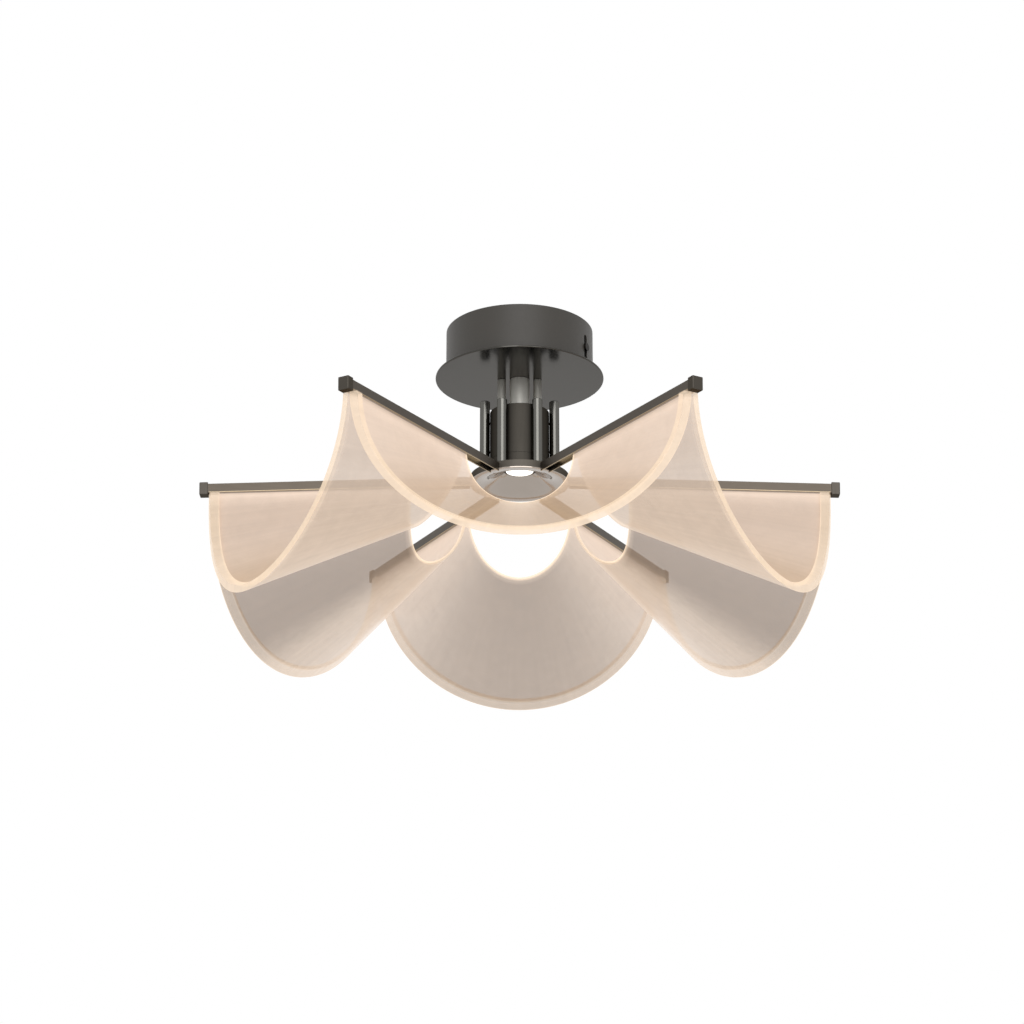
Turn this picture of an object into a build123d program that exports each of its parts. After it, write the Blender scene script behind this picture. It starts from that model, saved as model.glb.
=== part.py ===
from build123d import *
import os
from math import cos, radians, sin, sqrt, tan

os.makedirs("parts", exist_ok=True)

# Semi-flush ceiling light: six bent acrylic petals hung between six drooping arms.
# The origin is on the ceiling, on the light's axis, and the light hangs down from it along -Z.
# Lengths are in millimetres and angles in degrees.

# Overall layout
overall_diameter = 600.0
arm_count = 6
arm_droop = 1.6
fit_gap = 0.1
loose_gap = 0.3

# Canopy: a drum on a larger flat plate
drum_diameter = 140.0
drum_height = 46.0
drum_wall = 1.5
drum_flange_width = 7.5
plate_diameter = 160.0
plate_thickness = 2.0
plate_edge_radius = 0.6
stud_count = 4
stud_radius = 2.0
stud_spare = 1.5
stud_nut_across = 6.5
stud_nut_height = 3.0

# Ceiling bracket: a strap with two turned-down ears, held to the drum by side screws
bracket_azimuth = -27.0
bracket_thickness = 2.0
bracket_width = 26.0
bracket_ear_width = 20.0
bracket_ear_drop = 35.0
bracket_ear_gap = 1.2
bracket_hole_radius = 2.75
bracket_hole_spacing = 80.0
bracket_cable_radius = 8.0
side_screw_drop = 27.5
side_slot_width = 6.0
side_slot_length = 25.0
side_screw_radius = 2.0
side_screw_head_radius = 3.8
side_screw_head_height = 1.8
side_screw_length = 10.0

# Neck: a sleeve over a threaded nipple, with a spacer pillar on each side
neck_length = 34.5
neck_radius = 9.5
nipple_radius = 6.4
nipple_bore = 4.5
nipple_spare = 3.0
washer_radius = 13.0
washer_thickness = 1.0
nut_across = 19.0
nut_height = 5.0
pillar_radius = 4.0
pillar_offset = 17.0

# Column: a core tube ringed by slimmer rods
column_length = 64.0
core_radius = 28.0
core_wall = 1.5
core_top_thickness = 2.0
rod_radius = 4.75
rod_rise = 3.0
side_rod_rise = 12.0
rod_chamfer = 0.5
rod_screw_depth = 10.0
rod_screw_radius = 1.5
rod_screw_head_radius = 2.7
rod_screw_head_height = 1.4
rod_screw_cover = 1.5
tie_screw_radius = 1.2
tie_screw_head_radius = 2.2
tie_screw_head_height = 1.6
tie_screw_bite = 3.4
tie_screw_inset = 10.0

# Downlight: a housing at the core's foot, a lens in its holder, and a heat sink
housing_height = 15.0
housing_wall = 3.0
partition_height = 12.2
partition_thickness = 2.0
board_radius = 13.0
board_thickness = 1.3
emitter_radius = 7.0
emitter_height = 0.8
lens_radius = 13.5
lens_thickness = 2.0
lens_stand = 0.8
holder_wall = 1.9
holder_lip = 0.7
sink_base_radius = 22.5
sink_fin_radius = 20.0
sink_height = 23.0
sink_base = 4.0
sink_slot_width = 2.6
sink_slot_count = 6
sink_slot_pitch = 5.6
sink_screw_count = 3
sink_screw_circle = 18.6
sink_screw_radius = 1.4
sink_screw_head_radius = 2.4
sink_screw_head_height = 1.6
sink_screw_bite = 3.0

# Hub: a ring that the arms and the column stand on, with a polished dish under it
hub_radius = 46.5
hub_bore = 25.0
hub_rise = 4.5
hub_drop = 3.0
dish_thickness = 0.8
dish_rim_width = 1.5
dish_rise = 14.0
dish_bow = 3.8

# Arms: channel profiles, open below
arm_height = 8.5
arm_wall = 0.8
arm_web = 1.0
tongue_length = 8.5
tongue_height = 2.7
tongue_inset = 0.25
tongue_lap = 12.0
arm_screw_inset = 4.5
arm_screw_radius = 1.45
arm_screw_head_radius = 2.4
arm_screw_head_height = 1.6
lead_radius = 0.8
lead_inside_hub = 6.5

# End caps
cap_length = 8.0
cap_side = 0.5
cap_rise = 1.6
cap_lower = 2.0
cap_edge = 0.8
cap_tenon_length = 3.5

# Light strips in the arms
strip_side_gap = 0.4
strip_board = 0.6
strip_chip_height = 0.9
strip_chip_size = 2.8
strip_chip_count = 30
strip_start_gap = 3.0
strip_end_gap = 0.5

# Petals: bent sheets, each a trough between two arms
petal_thickness = 2.5
petal_slope = 27.8
petal_drop = 5.3
petal_inner_radius = 101.7
petal_inner_bow = 17.5
petal_outer_bow = 14.5
petal_end_gap = 0.5
petal_top_gap = 0.25
petal_side_gap = 0.6
petal_rim_width = 7.5
petal_rim_thickness = 6.0
petal_rim_gap = 0.5
divider_thickness = 1.2
divider_gap = 0.2
divider_inset = 0.5

# Electrics in the canopy
driver_length = 76.0
driver_width = 30.0
driver_height = 24.0
driver_corner = 3.0
driver_offset = 32.0
driver_lug_length = 10.0
driver_lug_width = 10.0
driver_lug_thickness = 3.0
driver_screw_radius = 1.4
driver_screw_head_radius = 2.8
driver_screw_head_height = 2.0
driver_screw_bite = 1.2
driver_lead_radius = 1.5
driver_lead_height = 18.0
driver_lead_bend = 12.0
terminal_length = 30.0
terminal_width = 12.0
terminal_height = 12.0
terminal_offset = 34.0
terminal_pole_count = 3
terminal_pole_pitch = 9.0
terminal_well_radius = 2.6
terminal_well_depth = 5.0
earth_screw_place = (30.0, -20.0)
earth_screw_radius = 2.0
earth_screw_head_radius = 3.6
earth_screw_head_height = 2.5
earth_screw_stand = 6.0
supply_lead_radius = 1.2
supply_lead_spacing = 3.0
supply_lead_offset = 12.0
supply_lead_height = 9.0

# Heights, worked out downwards from the ceiling
drum_bottom = -drum_height
plate_bottom = drum_bottom - plate_thickness
column_top = plate_bottom - neck_length
hub_top = column_top - column_length
arm_axis_z = hub_top - hub_rise
hub_bottom = arm_axis_z - hub_drop
housing_top = hub_top + housing_height
partition_bottom = hub_top + partition_height
partition_top = partition_bottom + partition_thickness
sink_top = partition_top + sink_height

# Radii and angles that follow from the sizes above
sector_half = 180.0 / arm_count
sector_cos = cos(radians(sector_half))
sector_tan = tan(radians(sector_half))
droop_cos = cos(radians(arm_droop))
droop_tan = tan(radians(arm_droop))
drum_radius = drum_diameter / 2
drum_inner = drum_radius - drum_wall
plate_radius = plate_diameter / 2
nipple_hole = nipple_radius + fit_gap
rod_circle = core_radius + rod_radius + fit_gap
cap_inner_radius = overall_diameter / 2 - cap_length
arm_start = hub_radius + fit_gap

# Places across an arm, from its centre line: up is positive
sheet_offset = divider_thickness / 2 + divider_gap + petal_thickness / 2
arm_inner_half = sheet_offset + petal_thickness / 2 + petal_side_gap
arm_width = 2 * (arm_inner_half + arm_wall)
web_bottom = arm_height / 2 - arm_web
strip_width = 2 * (arm_inner_half - strip_side_gap)
chip_bottom = web_bottom - strip_board - strip_chip_height
sheet_top = chip_bottom - petal_top_gap
tongue_top = arm_height / 2 - tongue_inset
tongue_middle = tongue_top - tongue_height / 2
tongue_width = 2 * (arm_inner_half - fit_gap)
lead_middle = tongue_top - tongue_height - loose_gap - lead_radius
strip_start = arm_start + tongue_lap + strip_start_gap
strip_end = cap_inner_radius - cap_tenon_length - strip_end_gap

arm_azimuths = [360.0 / arm_count * index for index in range(arm_count)]


def arm_line_z(radius):
    """Height of the arms' centre lines at a distance from the light's axis."""
    return arm_axis_z - radius * droop_tan


def arm_plane(azimuth, radius):
    """A plane square to an arm: x is sideways, y is up, and the normal points outwards."""
    turn = radians(azimuth)
    droop = radians(arm_droop)
    return Plane(
        origin=(radius * cos(turn), radius * sin(turn), arm_line_z(radius)),
        x_dir=(-sin(turn), cos(turn), 0),
        z_dir=(cos(turn) * cos(droop), sin(turn) * cos(droop), -sin(droop)),
    )


def along_arm(length):
    """The length along a drooping arm that covers a level distance."""
    return length / droop_cos


def flat_plane(azimuth, height):
    """A level plane at a height, with x along an azimuth."""
    turn = radians(azimuth)
    return Plane(origin=(0, 0, height), x_dir=(cos(turn), sin(turn), 0), z_dir=(0, 0, 1))


def upright_plane(azimuth, distance):
    """An upright plane that faces outwards along an azimuth: x is sideways and y is the height."""
    turn = radians(azimuth)
    return Plane(
        origin=(distance * cos(turn), distance * sin(turn), 0),
        x_dir=(-sin(turn), cos(turn), 0),
        z_dir=(cos(turn), sin(turn), 0),
    )


def save(piece, name):
    """Label a finished piece and write its file."""
    piece.label = name
    export_step(piece, "parts/" + name + ".step")


# Canopy plate: a polished disc, with welded studs on its upper face for the drum's flange
# and blind threaded holes for the driver's and the earth screws
stud_circle = drum_inner - drum_flange_width + stud_nut_across / 2 + fit_gap * 2
stud_top = drum_bottom + drum_wall + stud_nut_height + stud_spare
driver_screw_place = driver_length / 2 + driver_lug_length / 2
with BuildPart() as canopy_plate:
    with BuildSketch(Plane.XY.offset(plate_bottom)):
        Circle(plate_radius)
    extrude(amount=plate_thickness)
    fillet(canopy_plate.edges(), radius=plate_edge_radius)
    with BuildSketch(Plane.XY.offset(plate_bottom)):
        Circle(nipple_hole)
    extrude(amount=plate_thickness, mode=Mode.SUBTRACT)
    with BuildSketch(flat_plane(bracket_azimuth, drum_bottom)):
        with PolarLocations(stud_circle, stud_count, start_angle=180.0 / stud_count):
            Circle(stud_radius)
    extrude(amount=stud_top - drum_bottom)
    with BuildSketch(flat_plane(bracket_azimuth, drum_bottom)):
        with Locations((driver_screw_place, driver_offset), (-driver_screw_place, driver_offset)):
            Circle(driver_screw_radius)
        with Locations(earth_screw_place):
            Circle(earth_screw_radius)
    extrude(amount=-driver_screw_bite, mode=Mode.SUBTRACT)
save(canopy_plate.part, "canopy_plate")

# Canopy drum: a ring with an inward flange at its foot and an upright slot on each side
with BuildPart() as canopy_drum:
    with BuildSketch(Plane.XY.offset(drum_bottom)):
        Circle(drum_radius)
        Circle(drum_inner, mode=Mode.SUBTRACT)
    extrude(amount=drum_height)
    with BuildSketch(Plane.XY.offset(drum_bottom)):
        Circle(drum_inner)
        Circle(drum_inner - drum_flange_width, mode=Mode.SUBTRACT)
    extrude(amount=drum_wall)
    with BuildSketch(flat_plane(bracket_azimuth, drum_bottom)):
        with PolarLocations(stud_circle, stud_count, start_angle=180.0 / stud_count):
            Circle(stud_radius + fit_gap)
    extrude(amount=drum_wall, mode=Mode.SUBTRACT)
    with BuildSketch(upright_plane(bracket_azimuth, 0)):
        with Locations((0, -side_screw_drop)):
            SlotOverall(side_slot_length, side_slot_width, rotation=90)
    extrude(amount=drum_radius, both=True, mode=Mode.SUBTRACT)
save(canopy_drum.part, "canopy_drum")

# Nuts on the plate's studs, inside the drum
with BuildPart() as drum_nuts:
    with BuildSketch(flat_plane(bracket_azimuth, drum_bottom + drum_wall)):
        with PolarLocations(stud_circle, stud_count, start_angle=180.0 / stud_count):
            RegularPolygon(stud_nut_across / 2, 6, major_radius=False)
            Circle(stud_radius + fit_gap, mode=Mode.SUBTRACT)
    extrude(amount=stud_nut_height)
save(drum_nuts.part, "drum_nuts")

# Ceiling bracket: a strap against the ceiling, with an ear down inside the drum at each end
ear_outer = drum_inner - bracket_ear_gap
with BuildPart() as ceiling_bracket:
    with BuildSketch(flat_plane(bracket_azimuth, -bracket_thickness)):
        Rectangle(2 * ear_outer, bracket_width - 2 * bracket_thickness)
        with Locations((bracket_hole_spacing / 2, 0), (-bracket_hole_spacing / 2, 0)):
            Circle(bracket_hole_radius, mode=Mode.SUBTRACT)
        Circle(bracket_cable_radius, mode=Mode.SUBTRACT)
    extrude(amount=bracket_thickness)
    with BuildSketch(flat_plane(bracket_azimuth, -bracket_ear_drop)):
        ear_middle = ear_outer - bracket_thickness / 2
        with Locations((ear_middle, 0), (-ear_middle, 0)):
            Rectangle(bracket_thickness, bracket_ear_width)
    extrude(amount=bracket_ear_drop)
    with BuildSketch(upright_plane(bracket_azimuth, 0)):
        with Locations((0, -side_screw_drop)):
            Circle(side_screw_radius + fit_gap / 2)
    extrude(amount=drum_radius, both=True, mode=Mode.SUBTRACT)
save(ceiling_bracket.part, "ceiling_bracket")

# Side screws: from outside through the drum's slots into the bracket's ears
with BuildPart() as canopy_side_screws:
    for azimuth in (bracket_azimuth, bracket_azimuth + 180):
        with BuildSketch(upright_plane(azimuth, drum_radius)):
            with Locations((0, -side_screw_drop)):
                Circle(side_screw_head_radius)
        extrude(amount=side_screw_head_height)
        with BuildSketch(upright_plane(azimuth, drum_radius)):
            with Locations((0, -side_screw_drop)):
                Circle(side_screw_radius)
        extrude(amount=-side_screw_length)
save(canopy_side_screws.part, "canopy_side_screws")

# Driver: a closed plastic case with a lug at each end, beside the nipple
with BuildPart() as driver_case:
    with BuildSketch(flat_plane(bracket_azimuth, drum_bottom)):
        with Locations((0, driver_offset)):
            RectangleRounded(driver_length, driver_width, driver_corner)
    extrude(amount=driver_height)
    fillet(driver_case.faces().sort_by(Axis.Z)[-1].edges(), radius=driver_corner / 2)
    with BuildSketch(flat_plane(bracket_azimuth, drum_bottom)):
        with Locations((0, driver_offset)):
            Rectangle(driver_length + 2 * driver_lug_length, driver_lug_width)
        with Locations((driver_screw_place, driver_offset), (-driver_screw_place, driver_offset)):
            Circle(driver_screw_radius + fit_gap, mode=Mode.SUBTRACT)
    extrude(amount=driver_lug_thickness)
save(driver_case.part, "driver_case")

# Screws through the driver's lugs into the plate
with BuildPart() as driver_screws:
    with BuildSketch(flat_plane(bracket_azimuth, drum_bottom + driver_lug_thickness)):
        with Locations((driver_screw_place, driver_offset), (-driver_screw_place, driver_offset)):
            Circle(driver_screw_head_radius)
    extrude(amount=driver_screw_head_height)
    with BuildSketch(flat_plane(bracket_azimuth, drum_bottom - driver_screw_bite)):
        with Locations((driver_screw_place, driver_offset), (-driver_screw_place, driver_offset)):
            Circle(driver_screw_radius - fit_gap / 2)
    extrude(amount=driver_screw_bite + driver_lug_thickness)
save(driver_screws.part, "driver_screws")

# Terminal block for the mains wires, with a screw well for each pole
with BuildPart() as terminal_block:
    with BuildSketch(flat_plane(bracket_azimuth, drum_bottom)):
        with Locations((0, -terminal_offset)):
            Rectangle(terminal_length, terminal_width)
    extrude(amount=terminal_height)
    with BuildSketch(flat_plane(bracket_azimuth, drum_bottom + terminal_height)):
        with Locations((0, -terminal_offset)):
            with GridLocations(terminal_pole_pitch, 0, terminal_pole_count, 1):
                Circle(terminal_well_radius)
    extrude(amount=-terminal_well_depth, mode=Mode.SUBTRACT)
save(terminal_block.part, "terminal_block")

# Supply leads: two short wires from the terminal block to the driver, past the nipple
terminal_face = -terminal_offset + terminal_width / 2
driver_face = driver_offset - driver_width / 2
with BuildPart() as supply_leads:
    with BuildSketch(upright_plane(bracket_azimuth + 90, terminal_face)):
        lead_z = drum_bottom + supply_lead_height
        first_lead = (supply_lead_offset - supply_lead_spacing / 2, lead_z)
        second_lead = (supply_lead_offset + supply_lead_spacing / 2, lead_z)
        with Locations(first_lead, second_lead):
            Circle(supply_lead_radius)
    extrude(amount=driver_face - terminal_face)
save(supply_leads.part, "supply_leads")

# Driver lead: from the driver over the nipple's end and down through it to the heat sink
driver_lead_z = drum_bottom + driver_lead_height
lead_frame = flat_plane(bracket_azimuth, 0)
with BuildPart() as driver_lead:
    with BuildLine():
        FilletPolyline(
            lead_frame.from_local_coords(Vector(0, driver_face, driver_lead_z)),
            lead_frame.from_local_coords(Vector(0, 0, driver_lead_z)),
            lead_frame.from_local_coords(Vector(0, 0, sink_top)),
            radius=driver_lead_bend,
        )
    with BuildSketch(upright_plane(bracket_azimuth + 90, driver_face)):
        with Locations((0, driver_lead_z)):
            Circle(driver_lead_radius)
    sweep()
save(driver_lead.part, "driver_lead")

# Earth screw: a brass screw that stands on the plate
with BuildPart() as earth_screw:
    with BuildSketch(flat_plane(bracket_azimuth, drum_bottom - driver_screw_bite)):
        with Locations(earth_screw_place):
            Circle(earth_screw_radius - fit_gap / 2)
    extrude(amount=driver_screw_bite + earth_screw_stand)
    with BuildSketch(flat_plane(bracket_azimuth, drum_bottom + earth_screw_stand)):
        with Locations(earth_screw_place):
            Circle(earth_screw_head_radius)
    extrude(amount=earth_screw_head_height)
save(earth_screw.part, "earth_screw")

# Threaded nipple: the hollow rod that clamps plate, neck sleeve and column core together
core_top_underside = column_top - core_top_thickness
clamp_height = washer_thickness + nut_height + nipple_spare
nipple_bottom = core_top_underside - clamp_height
nipple_top = drum_bottom + clamp_height
with BuildPart() as threaded_nipple:
    with BuildSketch(Plane.XY.offset(nipple_bottom)):
        Circle(nipple_radius)
        Circle(nipple_bore, mode=Mode.SUBTRACT)
    extrude(amount=nipple_top - nipple_bottom)
save(threaded_nipple.part, "threaded_nipple")

# Washers and hex nuts at the nipple's two ends
washer_bottoms = (drum_bottom, core_top_underside - washer_thickness)
nut_bottoms = (drum_bottom + washer_thickness, core_top_underside - washer_thickness - nut_height)
with BuildPart() as nipple_washers:
    for height in washer_bottoms:
        with BuildSketch(Plane.XY.offset(height)):
            Circle(washer_radius)
            Circle(nipple_hole, mode=Mode.SUBTRACT)
        extrude(amount=washer_thickness)
save(nipple_washers.part, "nipple_washers")

with BuildPart() as nipple_nuts:
    for height in nut_bottoms:
        with BuildSketch(Plane.XY.offset(height)):
            RegularPolygon(nut_across / 2, 6, major_radius=False)
            Circle(nipple_hole, mode=Mode.SUBTRACT)
        extrude(amount=nut_height)
save(nipple_nuts.part, "nipple_nuts")

# Neck sleeve: the slim polished tube between the column and the plate
with BuildPart() as neck_sleeve:
    with BuildSketch(Plane.XY.offset(column_top)):
        Circle(neck_radius)
        Circle(nipple_hole, mode=Mode.SUBTRACT)
    extrude(amount=neck_length)
save(neck_sleeve.part, "neck_sleeve")

# Spacer pillars: one on each side of the neck, so that the column can't turn or tip
with BuildPart() as spacer_pillars:
    with BuildSketch(Plane.XY.offset(column_top)):
        with Locations((pillar_offset, 0), (-pillar_offset, 0)):
            Circle(pillar_radius)
    extrude(amount=neck_length)
save(spacer_pillars.part, "spacer_pillars")

# Column core: a tube closed at its top, with holes for the screws that hold the rods
core_inner = core_radius - core_wall
upper_tie_z = column_top - tie_screw_inset
lower_tie_z = housing_top + tie_screw_inset
with BuildPart() as column_core:
    with BuildSketch(Plane.XY.offset(housing_top)):
        Circle(core_radius)
        Circle(core_inner, mode=Mode.SUBTRACT)
    extrude(amount=column_top - housing_top)
    with BuildSketch(Plane.XY.offset(core_top_underside)):
        Circle(core_inner)
        Circle(nipple_hole, mode=Mode.SUBTRACT)
    extrude(amount=core_top_thickness)
    for azimuth in arm_azimuths:
        with BuildSketch(upright_plane(azimuth, core_inner - core_wall)):
            with Locations((0, upper_tie_z), (0, lower_tie_z)):
                Circle(tie_screw_radius + fit_gap)
        extrude(amount=3 * core_wall, mode=Mode.SUBTRACT)
save(column_core.part, "column_core")

# Column rods: six polished rods round the core, one over each arm. They stand above the core, and
# the two at the sides are the tallest.
tie_end = core_radius + tie_screw_bite
for index, azimuth in enumerate(arm_azimuths):
    rod_place = (rod_circle * cos(radians(azimuth)), rod_circle * sin(radians(azimuth)))
    at_side = index % (arm_count // 2) == 0
    rod_length = column_length + (side_rod_rise if at_side else rod_rise)
    with BuildPart() as column_rod:
        with BuildSketch(Plane.XY.offset(hub_top)):
            with Locations(rod_place):
                Circle(rod_radius)
        extrude(amount=rod_length)
        chamfer(column_rod.faces().sort_by(Axis.Z)[-1].edges(), length=rod_chamfer)
        with BuildSketch(Plane.XY.offset(hub_top)):
            with Locations(rod_place):
                Circle(rod_screw_radius + fit_gap / 2)
        extrude(amount=rod_screw_depth, mode=Mode.SUBTRACT)
        with BuildSketch(upright_plane(azimuth, core_radius)):
            with Locations((0, upper_tie_z), (0, lower_tie_z)):
                Circle(tie_screw_radius + fit_gap / 2)
        extrude(amount=tie_screw_bite, mode=Mode.SUBTRACT)
    save(column_rod.part, "column_rod_" + str(index + 1))

# Tie screws: from inside the core into the rods
with BuildPart() as tie_screws:
    for azimuth in arm_azimuths:
        with BuildSketch(upright_plane(azimuth, core_inner - tie_screw_head_height)):
            with Locations((0, upper_tie_z), (0, lower_tie_z)):
                Circle(tie_screw_head_radius)
        extrude(amount=tie_screw_head_height - fit_gap)
        with BuildSketch(upright_plane(azimuth, core_inner - tie_screw_head_height / 2)):
            with Locations((0, upper_tie_z), (0, lower_tie_z)):
                Circle(tie_screw_radius)
        extrude(amount=tie_end - core_inner + tie_screw_head_height / 2 - fit_gap)
save(tie_screws.part, "tie_screws")

# Downlight housing: the ring at the core's foot, with a partition that carries the light source.
# The core's weight and the rods' screws clamp it on the hub.
housing_inner = core_radius - housing_wall
with BuildPart() as downlight_housing:
    with BuildSketch(Plane.XY.offset(hub_top)):
        Circle(core_radius)
        Circle(housing_inner, mode=Mode.SUBTRACT)
    extrude(amount=housing_height)
    with BuildSketch(Plane.XY.offset(partition_bottom)):
        Circle(housing_inner)
        with PolarLocations(sink_screw_circle, sink_screw_count, start_angle=sector_half):
            Circle(sink_screw_radius + fit_gap, mode=Mode.SUBTRACT)
    extrude(amount=partition_thickness)
save(downlight_housing.part, "downlight_housing")

# Heat sink: a finned block on the partition, inside the core
with BuildPart() as heat_sink:
    with BuildSketch(Plane.XY.offset(partition_top)):
        Circle(sink_base_radius)
    extrude(amount=sink_base)
    with BuildSketch(Plane.XY.offset(partition_top + sink_base)):
        Circle(sink_fin_radius)
        with GridLocations(sink_slot_pitch, 0, sink_slot_count, 1):
            Rectangle(sink_slot_width, 2 * sink_base_radius, mode=Mode.SUBTRACT)
    extrude(amount=sink_height - sink_base)
    with BuildSketch(Plane.XY.offset(partition_top)):
        with PolarLocations(sink_screw_circle, sink_screw_count, start_angle=sector_half):
            Circle(sink_screw_radius + fit_gap / 2)
    extrude(amount=sink_screw_bite, mode=Mode.SUBTRACT)
save(heat_sink.part, "heat_sink")

# Screws that hold the heat sink, from under the partition
with BuildPart() as sink_screws:
    with BuildSketch(Plane.XY.offset(partition_bottom - sink_screw_head_height)):
        with PolarLocations(sink_screw_circle, sink_screw_count, start_angle=sector_half):
            Circle(sink_screw_head_radius)
    extrude(amount=sink_screw_head_height)
    with BuildSketch(Plane.XY.offset(partition_bottom)):
        with PolarLocations(sink_screw_circle, sink_screw_count, start_angle=sector_half):
            Circle(sink_screw_radius)
    extrude(amount=partition_thickness + sink_screw_bite - fit_gap)
save(sink_screws.part, "sink_screws")

# Downlight board: a round circuit board under the partition, with its emitter
with BuildPart() as downlight_board:
    with BuildSketch(Plane.XY.offset(partition_bottom - board_thickness)):
        Circle(board_radius)
    extrude(amount=board_thickness)
    with BuildSketch(Plane.XY.offset(partition_bottom - board_thickness - emitter_height)):
        Circle(emitter_radius)
    extrude(amount=emitter_height)
save(downlight_board.part, "downlight_board")

# Lens holder: a tube with an inward lip that the frosted lens rests on. The lens has a step that
# stands a little way out of the holder.
holder_bottom = hub_bottom + dish_rise
holder_inner = lens_radius + fit_gap
holder_radius = holder_inner + holder_wall
with BuildPart() as lens_holder:
    with BuildSketch(Plane.XY.offset(holder_bottom)):
        Circle(holder_radius)
        Circle(holder_inner, mode=Mode.SUBTRACT)
    extrude(amount=partition_bottom - holder_bottom)
    with BuildSketch(Plane.XY.offset(holder_bottom)):
        Circle(holder_inner)
        Circle(holder_inner - holder_lip, mode=Mode.SUBTRACT)
    extrude(amount=holder_lip)
save(lens_holder.part, "lens_holder")

with BuildPart() as downlight_lens:
    with BuildSketch(Plane.XY.offset(holder_bottom + holder_lip)):
        Circle(lens_radius)
    extrude(amount=lens_thickness)
    with BuildSketch(Plane.XY.offset(holder_bottom - lens_stand)):
        Circle(holder_inner - holder_lip - fit_gap)
    extrude(amount=lens_stand + holder_lip + lens_thickness)
save(downlight_lens.part, "downlight_lens")

# Reflector dish: a spun polished flare, flat at its rim, pressed on under the hub. Its section
# is an arc that starts shallow at the rim and steepens towards the lens.
dish_outer = hub_radius - dish_rim_width
dish_inner = holder_radius + fit_gap
dish_reach = dish_outer - dish_inner
dish_chord = sqrt(dish_reach**2 + dish_rise**2)
dish_middle_radius = (dish_outer + dish_inner) / 2 - dish_bow * dish_rise / dish_chord
dish_middle_z = hub_bottom + dish_rise / 2 - dish_bow * dish_reach / dish_chord
with BuildPart() as reflector_dish:
    with BuildSketch(Plane.XZ):
        with BuildLine():
            Line((hub_radius, hub_bottom + dish_thickness), (hub_radius, hub_bottom))
            Line((hub_radius, hub_bottom), (dish_outer, hub_bottom))
            ThreePointArc(
                (dish_outer, hub_bottom),
                (dish_middle_radius, dish_middle_z),
                (dish_inner, hub_bottom + dish_rise),
            )
            Line(
                (dish_inner, hub_bottom + dish_rise),
                (dish_inner, hub_bottom + dish_rise + dish_thickness),
            )
            ThreePointArc(
                (dish_inner, hub_bottom + dish_rise + dish_thickness),
                (dish_middle_radius, dish_middle_z + dish_thickness),
                (dish_outer, hub_bottom + dish_thickness),
            )
            Line((dish_outer, hub_bottom + dish_thickness), (hub_radius, hub_bottom + dish_thickness))
        make_face()
    revolve(axis=Axis.Z)
save(reflector_dish.part, "reflector_dish")

# Hub body: a turned ring over the dish, with a slot for each arm's tongue and screw holes
ring_bottom = hub_bottom + dish_thickness
recess_radius = dish_outer + loose_gap
dish_arc_radius = (dish_chord**2 / 4 + dish_bow**2) / (2 * dish_bow)
dish_arc_lift = (dish_arc_radius - dish_bow) / dish_chord
dish_centre_radius = (dish_outer + dish_inner) / 2 + dish_arc_lift * dish_rise
dish_centre_z = hub_bottom + dish_rise / 2 + dish_arc_lift * dish_reach
dish_at_bore = dish_centre_z - sqrt(dish_arc_radius**2 - (dish_centre_radius - hub_bore) ** 2)
bore_bottom = dish_at_bore + dish_thickness + loose_gap
rod_head_top = hub_top - rod_screw_cover
arm_screw_place = hub_radius - arm_screw_inset
with BuildPart() as hub_body:
    with BuildSketch(Plane.XZ):
        with BuildLine():
            Polyline(
                (hub_radius, ring_bottom),
                (hub_radius, hub_top),
                (hub_bore, hub_top),
                (hub_bore, bore_bottom),
                (recess_radius, ring_bottom),
                close=True,
            )
        make_face()
    revolve(axis=Axis.Z)
    for azimuth in arm_azimuths:
        with BuildSketch(arm_plane(azimuth, hub_radius - tongue_length - fit_gap)):
            with Locations((0, tongue_middle)):
                Rectangle(tongue_width + 2 * fit_gap, tongue_height + 2 * fit_gap)
        extrude(amount=2 * tongue_length, mode=Mode.SUBTRACT)
        with BuildSketch(arm_plane(azimuth, hub_radius - lead_inside_hub)):
            with Locations((0, lead_middle)):
                Circle(lead_radius + fit_gap)
        extrude(amount=2 * lead_inside_hub, mode=Mode.SUBTRACT)
    with BuildSketch(Plane.XY.offset(hub_top)):
        with PolarLocations(arm_screw_place, arm_count):
            Circle(arm_screw_radius + fit_gap)
    extrude(amount=-hub_rise + tongue_middle - droop_tan * arm_screw_place, mode=Mode.SUBTRACT)
    with BuildSketch(Plane.XY.offset(hub_top)):
        with PolarLocations(rod_circle, arm_count):
            Circle(rod_screw_radius + fit_gap)
    extrude(amount=-hub_rise - hub_drop, mode=Mode.SUBTRACT)
    with BuildSketch(Plane.XY.offset(rod_head_top)):
        with PolarLocations(rod_circle, arm_count):
            Circle(rod_screw_head_radius + fit_gap)
    extrude(amount=-hub_rise - hub_drop, mode=Mode.SUBTRACT)
save(hub_body.part, "hub_body")

# Rod screws: up through the hub into the column rods
with BuildPart() as rod_screws:
    with BuildSketch(Plane.XY.offset(rod_head_top - rod_screw_head_height)):
        with PolarLocations(rod_circle, arm_count):
            Circle(rod_screw_head_radius)
    extrude(amount=rod_screw_head_height)
    with BuildSketch(Plane.XY.offset(rod_head_top)):
        with PolarLocations(rod_circle, arm_count):
            Circle(rod_screw_radius)
    extrude(amount=rod_screw_cover + rod_screw_depth - fit_gap)
save(rod_screws.part, "rod_screws")

# Arm screws: down through the hub's top into the arms' tongues
tongue_bottom_z = arm_line_z(arm_screw_place) + tongue_top - tongue_height
with BuildPart() as arm_screws:
    with BuildSketch(Plane.XY.offset(hub_top)):
        with PolarLocations(arm_screw_place, arm_count):
            Circle(arm_screw_head_radius)
    extrude(amount=arm_screw_head_height)
    with BuildSketch(Plane.XY.offset(tongue_bottom_z + loose_gap)):
        with PolarLocations(arm_screw_place, arm_count):
            Circle(arm_screw_radius)
    extrude(amount=hub_top - tongue_bottom_z - loose_gap)
save(arm_screws.part, "arm_screws")

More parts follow.
